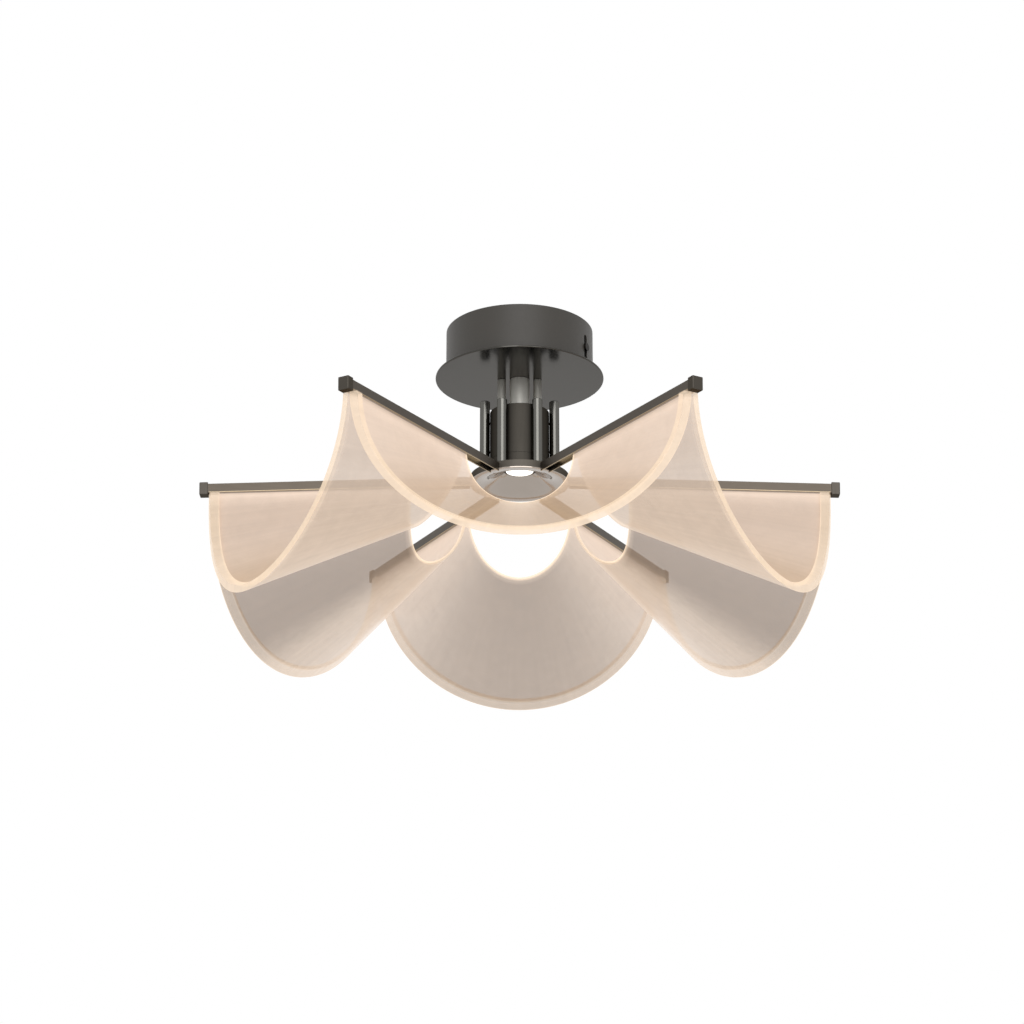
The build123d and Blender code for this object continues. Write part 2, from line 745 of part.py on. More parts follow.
# Arms: channels open below, each with a tongue that enters the hub
arm_length = along_arm(cap_inner_radius - arm_start)
for index, azimuth in enumerate(arm_azimuths):
    with BuildPart() as arm:
        with BuildSketch(arm_plane(azimuth, arm_start)):
            Rectangle(arm_width, arm_height)
            with Locations((0, -arm_web / 2)):
                Rectangle(2 * arm_inner_half, arm_height - arm_web, mode=Mode.SUBTRACT)
        extrude(amount=arm_length)
        with BuildSketch(arm_plane(azimuth, hub_radius - tongue_length)):
            with Locations((0, tongue_middle)):
                Rectangle(tongue_width, tongue_height)
        extrude(amount=tongue_length + tongue_lap)
        with BuildSketch(flat_plane(azimuth, hub_top)):
            with Locations((arm_screw_place, 0)):
                Circle(arm_screw_radius + fit_gap / 2)
        extrude(amount=-hub_rise - hub_drop, mode=Mode.SUBTRACT)
    save(arm.part, "arm_" + str(index + 1))

# Arm leads: the wires of the light strips, from the channel into the hub
lead_start = hub_radius - lead_inside_hub + fit_gap
with BuildPart() as arm_leads:
    for azimuth in arm_azimuths:
        with BuildSketch(arm_plane(azimuth, lead_start)):
            with Locations((0, lead_middle)):
                Circle(lead_radius)
        extrude(amount=along_arm(strip_start - lead_start) + strip_chip_size)
save(arm_leads.part, "arm_leads")

# End caps: blocks that close the channels, each with a tenon under the channel's web
cap_height = arm_height + cap_rise + cap_lower
tenon_height = web_bottom - chip_bottom - fit_gap
for index, azimuth in enumerate(arm_azimuths):
    with BuildPart() as end_cap:
        cap_plane = arm_plane(azimuth, cap_inner_radius)
        with BuildSketch(cap_plane):
            with Locations((0, (cap_rise - cap_lower) / 2)):
                Rectangle(arm_width + 2 * cap_side, cap_height)
        extrude(amount=along_arm(cap_length))
        outward = Axis(cap_plane.origin, cap_plane.z_dir)
        fillet(end_cap.faces().sort_by(outward)[-1].edges(), radius=cap_edge)
        with BuildSketch(cap_plane):
            with Locations((0, web_bottom - fit_gap / 2 - tenon_height / 2)):
                Rectangle(strip_width, tenon_height)
        extrude(amount=-cap_tenon_length)
    save(end_cap.part, "end_cap_" + str(index + 1))

# Light strips: a narrow circuit board with a row of chips, glued under each channel's web
for index, azimuth in enumerate(arm_azimuths):
    with BuildPart() as led_strip:
        with BuildSketch(arm_plane(azimuth, strip_start)):
            with Locations((0, web_bottom - strip_board / 2)):
                Rectangle(strip_width, strip_board)
        extrude(amount=along_arm(strip_end - strip_start))
        middle = arm_plane(azimuth, (strip_start + strip_end) / 2)
        board_face = Plane(
            origin=middle.from_local_coords(Vector(0, web_bottom - strip_board, 0)),
            x_dir=middle.z_dir,
            z_dir=middle.y_dir,
        )
        with BuildSketch(board_face):
            with GridLocations((strip_end - strip_start) / strip_chip_count, 0, strip_chip_count, 1):
                Rectangle(strip_chip_size, strip_chip_size)
        extrude(amount=-strip_chip_height)
    save(led_strip.part, "led_strip_" + str(index + 1))

# Arm dividers: a thin strip in each channel, between the two sheets that hang from it
divider_bottom = -arm_height / 2 + divider_inset
divider_end = cap_inner_radius - petal_end_gap
with BuildPart() as arm_dividers:
    for azimuth in arm_azimuths:
        with BuildSketch(arm_plane(azimuth, petal_inner_radius)):
            with Locations((0, (sheet_top + divider_bottom) / 2)):
                Rectangle(divider_thickness, sheet_top - divider_bottom)
        extrude(amount=along_arm(divider_end - petal_inner_radius))
save(arm_dividers.part, "arm_dividers")

# Petals: each sheet is a trough that widens and deepens outwards from near the light's axis. Its
# section is half an ellipse with upright ends that stand in two arms. Its inner and outer edges are
# arcs seen from above, and along the outer edge it is thickened, inside the trough, into a rim.
inner_corner = petal_inner_radius * sector_cos
outer_corner = (cap_inner_radius - petal_end_gap) * sector_cos
inner_reach = inner_corner + petal_inner_bow
outer_reach = outer_corner + petal_outer_bow
section_near = inner_corner * 0.8
section_far = outer_reach * 1.05
petal_floor = arm_axis_z - petal_drop - section_far * tan(radians(petal_slope)) - petal_rim_thickness
rim_top = -arm_height / 2 - petal_rim_gap


def trough_section(distance, under_offset, over_offset, top):
    """One section of a petal, between two offsets from the middle of its sheet."""
    half_width = distance * sector_tan - sheet_offset / sector_cos
    line_z = arm_line_z(distance / sector_cos)
    depth = line_z - arm_axis_z + petal_drop + distance * tan(radians(petal_slope))
    under_side = half_width + under_offset / sector_cos
    over_side = half_width + over_offset / sector_cos
    with BuildLine() as outline:
        under = EllipticalCenterArc(
            center=(0, line_z),
            x_radius=under_side,
            y_radius=depth + under_offset / cos(radians(petal_slope)),
            start_angle=180,
            arc_size=180,
        )
        over = EllipticalCenterArc(
            center=(0, line_z),
            x_radius=over_side,
            y_radius=depth + over_offset / cos(radians(petal_slope)),
            start_angle=180,
            arc_size=180,
        )
        if top > 0:
            Polyline(under @ 0, (-under_side, line_z + top), (-over_side, line_z + top), over @ 0)
            Polyline(under @ 1, (under_side, line_z + top), (over_side, line_z + top), over @ 1)
        else:
            Line(under @ 0, over @ 0)
            Line(under @ 1, over @ 1)
    return outline


def plan_outline(near_corner, near_reach, far_corner, far_reach):
    """A petal seen from above, between an inner and an outer arc."""
    with BuildLine() as outline:
        far_edge = ThreePointArc(
            (far_corner, -far_corner * sector_tan),
            (far_reach, 0),
            (far_corner, far_corner * sector_tan),
        )
        near_edge = ThreePointArc(
            (near_corner, -near_corner * sector_tan),
            (near_reach, 0),
            (near_corner, near_corner * sector_tan),
        )
        Line(far_edge @ 0, near_edge @ 0)
        Line(far_edge @ 1, near_edge @ 1)
    return outline


for index, azimuth in enumerate(arm_azimuths):
    petal_azimuth = azimuth + sector_half
    half_sheet = petal_thickness / 2
    with BuildPart() as rim:
        for distance in (section_near, section_far):
            with BuildSketch(upright_plane(petal_azimuth, distance)):
                add(trough_section(distance, 0, half_sheet - petal_rim_thickness, 0))
                make_face()
        loft(ruled=True)
        with BuildSketch(flat_plane(petal_azimuth, petal_floor)):
            rim_corner = outer_corner - petal_rim_width
            rim_reach = outer_reach - petal_rim_width * cos(radians(petal_slope))
            add(plan_outline(rim_corner, rim_reach, outer_corner, outer_reach))
            make_face()
        extrude(amount=hub_top - petal_floor, mode=Mode.INTERSECT)
        with BuildSketch(arm_plane(azimuth, 0)):
            with Locations((0, rim_top + arm_height)):
                Rectangle(2 * arm_height, 2 * arm_height)
        extrude(amount=overall_diameter, mode=Mode.SUBTRACT)
        with BuildSketch(arm_plane(azimuth + 2 * sector_half, 0)):
            with Locations((0, rim_top + arm_height)):
                Rectangle(2 * arm_height, 2 * arm_height)
        extrude(amount=overall_diameter, mode=Mode.SUBTRACT)
    with BuildPart() as petal:
        for distance in (section_near, section_far):
            with BuildSketch(upright_plane(petal_azimuth, distance)):
                add(trough_section(distance, half_sheet, -half_sheet, sheet_top))
                make_face()
        loft(ruled=True)
        with BuildSketch(flat_plane(petal_azimuth, petal_floor)):
            add(plan_outline(inner_corner, inner_reach, outer_corner, outer_reach))
            make_face()
        extrude(amount=hub_top - petal_floor, mode=Mode.INTERSECT)
        add(rim.part)
    save(petal.part, "petal_" + str(index + 1))
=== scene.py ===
from math import cos, pi, radians, sin, tan

import bpy
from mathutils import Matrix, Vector


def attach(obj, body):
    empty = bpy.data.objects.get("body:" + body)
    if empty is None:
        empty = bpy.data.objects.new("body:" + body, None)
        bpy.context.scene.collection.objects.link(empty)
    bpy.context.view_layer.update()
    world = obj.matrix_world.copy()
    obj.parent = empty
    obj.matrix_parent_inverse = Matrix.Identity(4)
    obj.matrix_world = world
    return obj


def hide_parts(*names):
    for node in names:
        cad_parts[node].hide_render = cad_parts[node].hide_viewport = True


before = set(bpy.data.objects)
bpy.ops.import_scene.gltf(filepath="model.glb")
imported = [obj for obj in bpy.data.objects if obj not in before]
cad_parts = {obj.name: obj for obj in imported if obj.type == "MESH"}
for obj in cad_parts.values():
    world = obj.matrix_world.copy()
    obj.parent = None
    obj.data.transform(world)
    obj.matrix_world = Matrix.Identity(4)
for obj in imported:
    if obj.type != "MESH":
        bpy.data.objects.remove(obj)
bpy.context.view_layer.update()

bpy.ops.object.select_all(action="DESELECT")

# Studio: a pale floor well below the light, a white surround and one broad softbox in front.
# The camera stands about a metre below the ceiling and looks up 20 degrees with a long lens.
scene = bpy.context.scene
scene.view_settings.view_transform = "Standard"

camera_distance = 2.45
camera_rise = radians(20)
camera_target = Vector((-0.0072, 0.0, -0.1814))
camera_data = bpy.data.cameras.new("camera")
camera_data.sensor_width = 36.0
camera_data.lens = 92.1
camera = bpy.data.objects.new("camera", camera_data)
camera.location = camera_target - camera_distance * Vector((0, cos(camera_rise), sin(camera_rise)))
camera.rotation_euler = (pi / 2 + camera_rise, 0, 0)
scene.collection.objects.link(camera)
scene.camera = camera


def linear(colour):
    """An sRGB hex colour as the linear RGBA that a socket takes."""
    parts = [int(colour[i : i + 2], 16) / 255 for i in (0, 2, 4)]
    return tuple(p / 12.92 if p <= 0.04045 else ((p + 0.055) / 1.055) ** 2.4 for p in parts) + (1.0,)


def add(tree, kind, settings=(), links=()):
    """Adds a node with its settings, and links its inputs to sockets or to nodes' first outputs."""
    node = tree.nodes.new(kind)
    for key, value in dict(settings).items():
        if isinstance(key, int) or key in node.inputs:
            node.inputs[key].default_value = value
        else:
            setattr(node, key, value)
    for key, source in dict(links).items():
        tree.links.new(getattr(source, "outputs", [source])[0], node.inputs[key])
    return node


floor_height = -1.25
floor_size = 14.0
bpy.ops.mesh.primitive_plane_add(size=floor_size, location=(0, 0, floor_height))
floor = bpy.context.object
floor.name = "studio_floor"
studio_paper = bpy.data.materials.new("studio_paper")
studio_paper.use_nodes = True
tree = studio_paper.node_tree
tree.nodes.clear()
path = add(tree, "ShaderNodeLightPath")
glossy_ray, transmission_ray = path.outputs["Is Glossy Ray"], path.outputs["Is Transmission Ray"]
mirrored = add(
    tree, "ShaderNodeMath", {"operation": "MAXIMUM"}, {0: glossy_ray, 1: transmission_ray}
)
paper = add(tree, "ShaderNodeBsdfDiffuse", {"Color": linear("f4f2ee")})
white = add(tree, "ShaderNodeEmission", {"Strength": 1.0})
shown = add(tree, "ShaderNodeMixShader", {}, {0: mirrored, 1: paper, 2: white})
add(tree, "ShaderNodeOutputMaterial", {}, {"Surface": shown})
floor.data.materials.append(studio_paper)

surround_level = 0.45
world = bpy.data.worlds.new("studio_surround")
world.use_nodes = True
scene.world = world
tree = world.node_tree
tree.nodes.clear()
path = add(tree, "ShaderNodeLightPath")
glossy_ray, transmission_ray = path.outputs["Is Glossy Ray"], path.outputs["Is Transmission Ray"]
mirrored = add(
    tree, "ShaderNodeMath", {"operation": "MAXIMUM"}, {0: glossy_ray, 1: transmission_ray}
)
looked_at = add(
    tree,
    "ShaderNodeMath",
    {"operation": "MAXIMUM"},
    {0: mirrored, 1: path.outputs["Is Camera Ray"]},
)
level = add(
    tree, "ShaderNodeMapRange", {"To Min": surround_level, "To Max": 1.0}, {"Value": looked_at}
)
surround = add(tree, "ShaderNodeBackground", {"Color": (1, 1, 1, 1)}, {"Strength": level})
add(tree, "ShaderNodeOutputWorld", {}, {"Surface": surround})

softbox_place = Vector((0.15, -3.0, 0.95))
softbox_data = bpy.data.lights.new("softbox", "AREA")
softbox_data.shape = "RECTANGLE"
softbox_data.size = 2.8
softbox_data.size_y = 1.7
softbox_data.energy = 36.0
softbox = bpy.data.objects.new("softbox", softbox_data)
softbox.location = softbox_place
softbox.rotation_euler = (camera_target - softbox_place).to_track_quat("-Z", "Y").to_euler()
softbox.visible_camera = False
scene.collection.objects.link(softbox)


# Canopy plate: a 160 mm steel disc under the drum, polished and plated in black nickel. Its edge
# is broken by 0.3 mm, and the drum and the neck are bolted to it.
def emptied(name):
    """A new material for a named finish, with an empty node tree."""
    material = bpy.data.materials.new(name)
    material.use_nodes = True
    material.node_tree.nodes.clear()
    return material


def dress(material, *names):
    """Gives a finish to CAD nodes or to pieces, by name."""
    for name in names:
        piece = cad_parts.get(name) or bpy.data.objects[name]
        for slot in piece.material_slots:
            slot.material = material


def eased(name, width, keep_flat=True):
    """Stands for a CAD node with a copy whose edges are rounded, as polishing or moulding does."""
    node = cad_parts[name]
    piece = node.copy()
    piece.data = node.data.copy()
    piece.name = "rounded_" + name
    scene.collection.objects.link(piece)
    bpy.ops.object.select_all(action="DESELECT")
    piece.select_set(True)
    bpy.context.view_layer.objects.active = piece
    bpy.ops.mesh.customdata_custom_splitnormals_clear()
    bpy.ops.object.mode_set(mode="EDIT")
    bpy.ops.mesh.select_all(action="SELECT")
    bpy.ops.mesh.remove_doubles(threshold=1e-6)
    if keep_flat:
        bpy.ops.mesh.dissolve_limited(angle_limit=radians(0.5))
    bpy.ops.object.mode_set(mode="OBJECT")
    bpy.ops.object.shade_smooth_by_angle(angle=radians(30))
    bevel = piece.modifiers.new("edge", "BEVEL")
    bevel.width = width
    bevel.segments = 2
    bevel.limit_method = "ANGLE"
    bevel.angle_limit = radians(30)
    bpy.ops.object.modifier_apply(modifier=bevel.name)
    even = piece.modifiers.new("even", "WEIGHTED_NORMAL")
    even.keep_sharp = True
    bpy.ops.object.modifier_apply(modifier=even.name)
    piece.select_set(False)
    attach(piece, "root")
    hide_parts(name)
    return piece


# Polished black nickel mirrors its surroundings dimly, with faint polishing swirls about 4 mm long
# and a skin of fingerprints and dust that softens the mirror here and there.
polished_edge = 0.0003
black_nickel = emptied("polished_black_nickel")
tree = black_nickel.node_tree
place = add(tree, "ShaderNodeTexCoord").outputs["Object"]
swirl_scale = 1 / 0.004
skin_scale = 1 / 0.018
swirl = add(
    tree,
    "ShaderNodeTexNoise",
    {"Scale": swirl_scale, "Detail": 4.0, "Distortion": 1.2},
    {"Vector": place},
)
skin = add(tree, "ShaderNodeTexNoise", {"Scale": skin_scale, "Detail": 3.0}, {"Vector": place})
marks = add(tree, "ShaderNodeMath", {"operation": "MULTIPLY"}, {0: swirl, 1: skin})
rough = add(
    tree,
    "ShaderNodeMapRange",
    {"From Min": 0.12, "From Max": 0.42, "To Min": 0.13, "To Max": 0.22},
    {"Value": marks},
)
tone = add(
    tree,
    "ShaderNodeMix",
    {"data_type": "RGBA", 6: linear("454441"), 7: linear("494744")},
    {0: skin},
).outputs[2]
dents = add(tree, "ShaderNodeBump", {"Strength": 0.05, "Distance": 0.00004}, {"Height": skin})
surface = add(
    tree,
    "ShaderNodeBsdfPrincipled",
    {"Metallic": 1.0, "Specular Tint": linear("f0efee")},
    {"Base Color": tone, "Roughness": rough, "Normal": dents},
)
add(tree, "ShaderNodeOutputMaterial", {}, {"Surface": surface})
dress(black_nickel, eased("canopy_plate", polished_edge).name)

# Canopy drum: a 140 mm spun steel cup with a slot in each side, closed by the plate. It has a satin
# powder coat: a warm dark grey with the slight orange peel of baked powder, about 1.5 mm across.
coated_edge = 0.0006
powder_coat = emptied("satin_powder_coat")
tree = powder_coat.node_tree
place = add(tree, "ShaderNodeTexCoord").outputs["Object"]
peel_scale = 1 / 0.0015
cloud_scale = 1 / 0.03
peel = add(tree, "ShaderNodeTexNoise", {"Scale": peel_scale, "Detail": 2.0}, {"Vector": place})
cloud = add(tree, "ShaderNodeTexNoise", {"Scale": cloud_scale, "Detail": 2.0}, {"Vector": place})
tone = add(
    tree,
    "ShaderNodeMix",
    {"data_type": "RGBA", 6: linear("3b3833"), 7: linear("403c37")},
    {0: cloud},
).outputs[2]
rough = add(tree, "ShaderNodeMapRange", {"To Min": 0.42, "To Max": 0.56}, {"Value": peel})
dents = add(tree, "ShaderNodeBump", {"Strength": 0.12, "Distance": 0.0001}, {"Height": peel})
surface = add(
    tree,
    "ShaderNodeBsdfPrincipled",
    {"Metallic": 0.0, "IOR": 1.5},
    {"Base Color": tone, "Roughness": rough, "Normal": dents},
)
add(tree, "ShaderNodeOutputMaterial", {}, {"Surface": surface})
dress(powder_coat, eased("canopy_drum", coated_edge).name)

# Ceiling bracket and the plain steel fasteners: pressed or turned steel with bright zinc plating,
# a little cloudy, with spangle-like patches about 5 mm across.
zinc_plate = emptied("bright_zinc_plate")
tree = zinc_plate.node_tree
place = add(tree, "ShaderNodeTexCoord").outputs["Object"]
spangle_scale = 1 / 0.005
fine_scale = 6 * spangle_scale
spangles = add(tree, "ShaderNodeTexVoronoi", {"Scale": spangle_scale}, {"Vector": place})
grain = add(tree, "ShaderNodeTexNoise", {"Scale": fine_scale, "Detail": 3.0}, {"Vector": place})
tone = add(
    tree,
    "ShaderNodeMix",
    {"data_type": "RGBA", 6: linear("a4a6a8"), 7: linear("b9babb")},
    {0: spangles.outputs["Color"]},
).outputs[2]
rough = add(tree, "ShaderNodeMapRange", {"To Min": 0.24, "To Max": 0.42}, {"Value": grain})
surface = add(
    tree, "ShaderNodeBsdfPrincipled", {"Metallic": 1.0}, {"Base Color": tone, "Roughness": rough}
)
add(tree, "ShaderNodeOutputMaterial", {}, {"Surface": surface})
dress(zinc_plate, "ceiling_bracket", "drum_nuts", "driver_screws")
dress(zinc_plate, "threaded_nipple", "nipple_washers", "nipple_nuts")


# Side screws of the canopy: steel machine screws with a black oxide finish, which is a dull black
# with a brown cast and fine pitting. The same screws hold the rods, the arms and the heat sink.
def grained(name, size, detail, tones, gloss, settings, stretch=(1.0, 1.0, 1.0)):
    """A finish whose tone and roughness both follow one grain of a real size."""
    material = emptied(name)
    tree = material.node_tree
    place = add(tree, "ShaderNodeTexCoord").outputs["Object"]
    stretched = add(tree, "ShaderNodeMapping", {"Scale": stretch}, {"Vector": place})
    grain = add(
        tree, "ShaderNodeTexNoise", {"Scale": 1 / size, "Detail": detail}, {"Vector": stretched}
    )
    dark, light = [linear(tone) for tone in tones]
    tone = add(tree, "ShaderNodeMix", {"data_type": "RGBA", 6: dark, 7: light}, {0: grain})
    rough = add(
        tree, "ShaderNodeMapRange", {"To Min": gloss[0], "To Max": gloss[1]}, {"Value": grain}
    )
    surface = add(
        tree,
        "ShaderNodeBsdfPrincipled",
        settings,
        {"Base Color": tone.outputs[2], "Roughness": rough},
    )
    add(tree, "ShaderNodeOutputMaterial", {}, {"Surface": surface})
    return material


metal = {"Metallic": 1.0}
pit_size = 0.0006
black_oxide = grained(
    "black_oxide_steel", pit_size, 2.0, ("1f1c1a", "2b2724"), (0.38, 0.6), metal
)
dress(black_oxide, "canopy_side_screws", "tie_screws", "sink_screws", "rod_screws", "arm_screws")

# Driver and terminal block: moulded boxes, the driver in white polycarbonate and the block in grey
# polyamide. Spark-eroded moulds leave a fine grain of about 0.4 mm.
mould_scale = 1 / 0.0004
for finish, light_tone, dark_tone, name in (
    ("moulded_polycarbonate", "e2e0d8", "d6d4cc", "driver_case"),
    ("moulded_polyamide", "8d9092", "808386", "terminal_block"),
):
    plastic = emptied(finish)
    tree = plastic.node_tree
    place = add(tree, "ShaderNodeTexCoord").outputs["Object"]
    grain = add(
        tree, "ShaderNodeTexNoise", {"Scale": mould_scale, "Detail": 2.0}, {"Vector": place}
    )
    tone = add(
        tree,
        "ShaderNodeMix",
        {"data_type": "RGBA", 6: linear(dark_tone), 7: linear(light_tone)},
        {0: grain},
    ).outputs[2]
    rough = add(tree, "ShaderNodeMapRange", {"To Min": 0.4, "To Max": 0.6}, {"Value": grain})
    dents = add(tree, "ShaderNodeBump", {"Strength": 0.2, "Distance": 0.00005}, {"Height": grain})
    surface = add(
        tree,
        "ShaderNodeBsdfPrincipled",
        {"IOR": 1.55},
        {"Base Color": tone, "Roughness": rough, "Normal": dents},
    )
    add(tree, "ShaderNodeOutputMaterial", {}, {"Surface": surface})
    dress(plastic, name)

# Leads: stranded copper in extruded silicone rubber, matt white, with the faint waves 1.2 mm long
# that the strands press through the rubber.
wave_size = 0.0012
silicone = grained(
    "extruded_silicone_rubber", wave_size, 1.0, ("d9d5cd", "e6e3dc"), (0.5, 0.65), {"IOR": 1.43}
)
dress(silicone, "supply_leads", "driver_lead", "arm_leads")

# Earth screw: a turned brass screw in the plate, left bare. The brass is a bright yellow, with the
# lathe's fine tool marks 0.3 mm apart.
tool_mark_size = 0.0003
turned_brass = grained(
    "turned_brass", tool_mark_size, 1.0, ("c9a04e", "dcb566"), (0.18, 0.34), metal
)
dress(turned_brass, "earth_screw")

# Neck sleeve and spacer pillars: steel tube and rod between the plate and the column, faced square
# and plated in satin nickel, which spreads its reflections. A grain 0.6 mm apart runs round them.
round_grain_size = 0.0006
round_stretch = (0.08, 0.08, 1.0)
for name, finish, tones in (
    ("neck_sleeve", "satin_nickel", ("b9b7b0", "c6c4be")),
    ("spacer_pillars", "dark_satin_nickel", ("a4a29b", "b1afa9")),
):
    satin_nickel = grained(
        finish, round_grain_size, 2.0, tones, (0.48, 0.58), metal, round_stretch
    )
    dress(satin_nickel, eased(name, polished_edge).name)


# Column core and downlight housing: a drawn tube and a turned ring in brass, brushed and given a
# dark bronze patina, which is a warm dark satin with upright brush lines about 0.8 mm apart.
def patinated(finish, dark_tone, light_tone):
    """Brushed brass with a bronze patina between two tones."""
    patina = emptied(finish)
    tree = patina.node_tree
    place = add(tree, "ShaderNodeTexCoord").outputs["Object"]
    brush_scale = 1 / 0.0008
    upright = add(tree, "ShaderNodeMapping", {"Scale": (1.0, 1.0, 0.04)}, {"Vector": place})
    brush = add(
        tree, "ShaderNodeTexNoise", {"Scale": brush_scale, "Detail": 3.0}, {"Vector": upright}
    )
    cloud = add(
        tree, "ShaderNodeTexNoise", {"Scale": cloud_scale, "Detail": 2.0}, {"Vector": place}
    )
    tone = add(
        tree,
        "ShaderNodeMix",
        {"data_type": "RGBA", 6: linear(dark_tone), 7: linear(light_tone)},
        {0: cloud},
    ).outputs[2]
    rough = add(tree, "ShaderNodeMapRange", {"To Min": 0.38, "To Max": 0.5}, {"Value": brush})
    surface = add(
        tree,
        "ShaderNodeBsdfPrincipled",
        {"Metallic": 1.0, "Specular Tint": linear("b0aeab")},
        {"Base Color": tone, "Roughness": rough},
    )
    add(tree, "ShaderNodeOutputMaterial", {}, {"Surface": surface})
    return patina


dark_patina = patinated("dark_bronze_patina", "393632", "3f3c37")
dress(dark_patina, "column_core", eased("downlight_housing", polished_edge).name)

# Column rods: six steel rods round the core, each over an arm, buffed along their length and plated
# in a lighter black nickel. Buffing lines 0.5 mm apart draw each highlight out along the rod.
rod_nickel = emptied("buffed_black_nickel")
tree = rod_nickel.node_tree
place = add(tree, "ShaderNodeTexCoord").outputs["Object"]
buff_scale = 1 / 0.0005
upright = add(tree, "ShaderNodeMapping", {"Scale": (1.0, 1.0, 0.02)}, {"Vector": place})
buff = add(tree, "ShaderNodeTexNoise", {"Scale": buff_scale, "Detail": 2.0}, {"Vector": upright})
skin = add(tree, "ShaderNodeTexNoise", {"Scale": skin_scale, "Detail": 3.0}, {"Vector": place})
tone = add(
    tree,
    "ShaderNodeMix",
    {"data_type": "RGBA", 6: linear("605f5b"), 7: linear("676662")},
    {0: skin},
).outputs[2]
rough = add(tree, "ShaderNodeMapRange", {"To Min": 0.14, "To Max": 0.24}, {"Value": buff})
surface = add(
    tree,
    "ShaderNodeBsdfPrincipled",
    {"Metallic": 1.0, "Specular Tint": linear("b4b3b0")},
    {"Base Color": tone, "Roughness": rough},
)
add(tree, "ShaderNodeOutputMaterial", {}, {"Surface": surface})
for number in range(1, 7):
    dress(rod_nickel, "column_rod_%d" % number)

# Heat sink: a block of extruded aluminium with milled fins, left in its bare mill finish, whose
# dull grain is about 0.7 mm across.
mill_grain_size = 0.0007
mill_aluminium = grained(
    "mill_finish_aluminium", mill_grain_size, 3.0, ("b4b4b2", "c4c4c2"), (0.3, 0.5), metal
)
dress(mill_aluminium, "heat_sink")

# Downlight board and lens: a lit phosphor emitter on a white board, under a lens of frosted acrylic
# whose fine sandblasted skin, about 0.5 mm, spreads the light into an even warm white.
frost_scale = 1 / 0.0005
lit_strength = 2.0
for finish, name, glow in (
    ("lit_phosphor", "downlight_board", "fff0d4"),
    ("sandblasted_acrylic_lens", "downlight_lens", "fff4e2"),
):
    lit = emptied(finish)
    tree = lit.node_tree
    place = add(tree, "ShaderNodeTexCoord").outputs["Object"]
    frost = add(
        tree, "ShaderNodeTexNoise", {"Scale": frost_scale, "Detail": 2.0}, {"Vector": place}
    )
    tone = add(
        tree,
        "ShaderNodeMix",
        {"data_type": "RGBA", 6: linear(glow), 7: linear("fffdf8")},
        {0: frost},
    ).outputs[2]
    rough = add(tree, "ShaderNodeMapRange", {"To Min": 0.5, "To Max": 0.7}, {"Value": frost})
    surface = add(
        tree,
        "ShaderNodeBsdfPrincipled",
        {"Emission Strength": lit_strength, "IOR": 1.49, "Base Color": linear("8a877f")},
        {"Emission Color": tone, "Roughness": rough},
    )
    add(tree, "ShaderNodeOutputMaterial", {}, {"Surface": surface})
    dress(lit, name)

# Lens holder: a turned aluminium tube round the lens, black anodised, which leaves it a dark satin
# with the lathe's fine marks 0.3 mm apart.
black_anodised = grained(
    "black_anodised_aluminium", tool_mark_size, 1.0, ("2a2826", "353230"), (0.3, 0.45), metal
)
dress(black_anodised, "lens_holder")

# Reflector dish: a spun steel flare under the hub, polished and plated in a smoky warm chrome. It
# keeps faint rings from the spinning roller, about 2.5 mm apart.
smoked_chrome = emptied("smoked_chrome")
tree = smoked_chrome.node_tree
place = add(tree, "ShaderNodeTexCoord").outputs["Object"]
roller_pitch = 0.0025
apart = add(tree, "ShaderNodeSeparateXYZ", {}, {0: place})
level_place = add(
    tree, "ShaderNodeCombineXYZ", {}, {0: apart.outputs["X"], 1: apart.outputs["Y"]}
)
reach = add(
    tree, "ShaderNodeVectorMath", {"operation": "LENGTH"}, {0: level_place}
).outputs["Value"]
turn = add(
    tree, "ShaderNodeMath", {"operation": "MULTIPLY", 1: 2 * pi / roller_pitch}, {0: reach}
)
ring = add(tree, "ShaderNodeMath", {"operation": "SINE"}, {0: turn})
blot = add(tree, "ShaderNodeTexNoise", {"Scale": skin_scale, "Detail": 3.0}, {"Vector": place})
rough = add(tree, "ShaderNodeMapRange", {"To Min": 0.06, "To Max": 0.16}, {"Value": blot})
tone = add(
    tree,
    "ShaderNodeMix",
    {"data_type": "RGBA", 6: linear("a0978e"), 7: linear("a89e95")},
    {0: blot},
).outputs[2]
dents = add(tree, "ShaderNodeBump", {"Strength": 0.05, "Distance": 0.00005}, {"Height": ring})
surface = add(
    tree,
    "ShaderNodeBsdfPrincipled",
    {"Metallic": 1.0},
    {"Base Color": tone, "Roughness": rough, "Normal": dents},
)
add(tree, "ShaderNodeOutputMaterial", {}, {"Surface": surface})
dress(smoked_chrome, "reflector_dish")

# Hub body: a ring turned from brass bar, slotted for the arms' tongues, and brushed and patinated
# as the housing above it is, only a little lighter.
hub_edge = 0.0004
bronze_patina = patinated("bronze_patina", "4d4943", "55504a")
dress(bronze_patina, eased("hub_body", hub_edge).name)

# Arms and end caps: extruded aluminium channels, open below, anodised dark bronze, and cast brass
# blocks patinated like the hub. The extruder leaves faint lines along each arm, 1 mm apart. The
# arms' lower lips, over half a millimetre, get a painted highlight, a pale colour standing in
# for the light that falls on them from inside the channel.
arm_level = -0.151
arm_droop = radians(1.6)
channel_end = 0.291
lip_depth = 0.0037
half_blur = 0.0001
die_scale = 1 / 0.001
anodised_bronze = emptied("bronze_anodised_aluminium")
tree = anodised_bronze.node_tree
place = add(tree, "ShaderNodeTexCoord").outputs["Object"]
drawn_out = add(tree, "ShaderNodeMapping", {"Scale": (0.05, 0.05, 1.0)}, {"Vector": place})
die_lines = add(
    tree, "ShaderNodeTexNoise", {"Scale": die_scale, "Detail": 3.0}, {"Vector": drawn_out}
)
cloud = add(tree, "ShaderNodeTexNoise", {"Scale": cloud_scale, "Detail": 2.0}, {"Vector": place})
